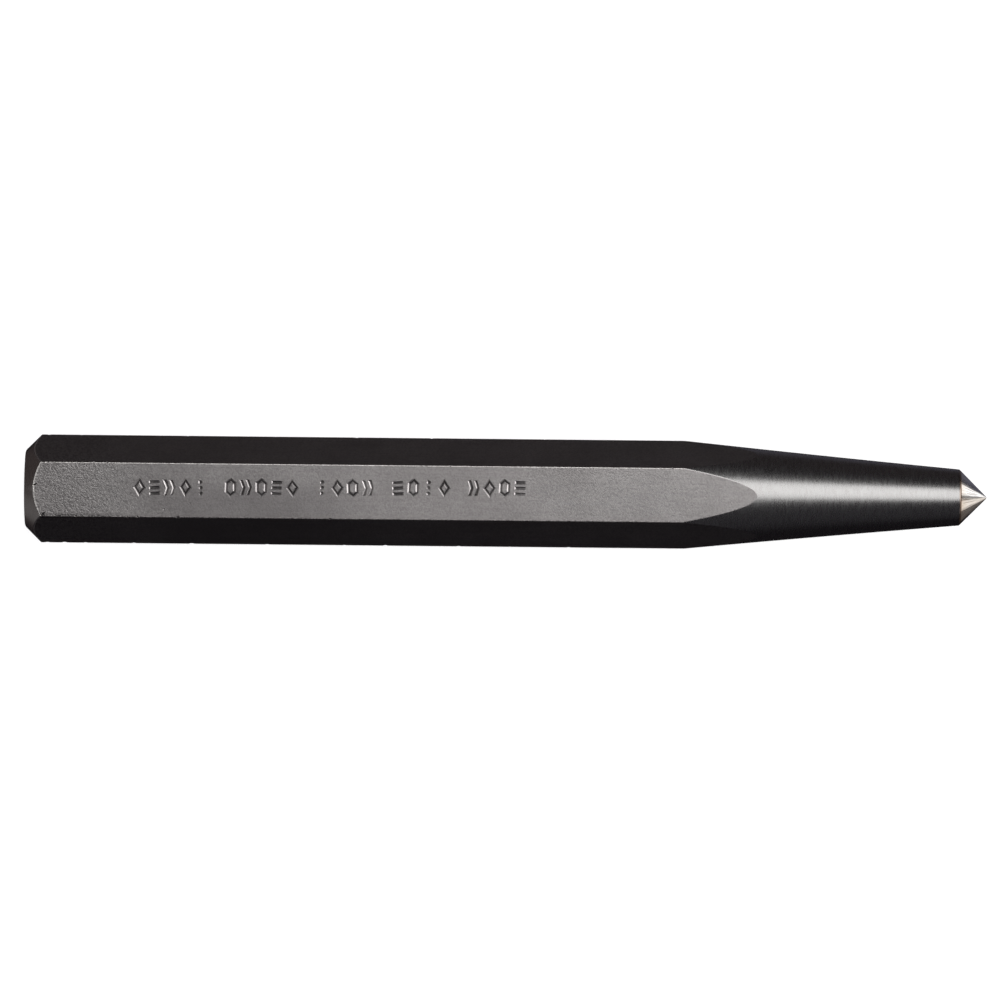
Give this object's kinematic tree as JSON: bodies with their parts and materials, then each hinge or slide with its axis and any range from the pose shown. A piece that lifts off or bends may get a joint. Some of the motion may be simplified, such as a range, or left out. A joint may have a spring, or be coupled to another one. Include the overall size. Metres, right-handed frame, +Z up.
{
  "type": "center punch",
  "caption": "Solid hexagonal steel center punch with a chamfered struck end, a long turned taper and a ground conical point.",
  "frame": {"origin": "on the flat that the punch lies on, under its axis, midway between the struck face and the tip", "axes": "+X along the axis towards the point, +Z up through the opposite flat, +Y across the corners of the hexagon"},
  "size_m": [0.163, 0.0184, 0.0159],
  "materials": {
    "tool_steel": "satin"
  },
  "bodies": {
    "root": {"punch_body": "tool_steel"}
  },
  "joints": []
}
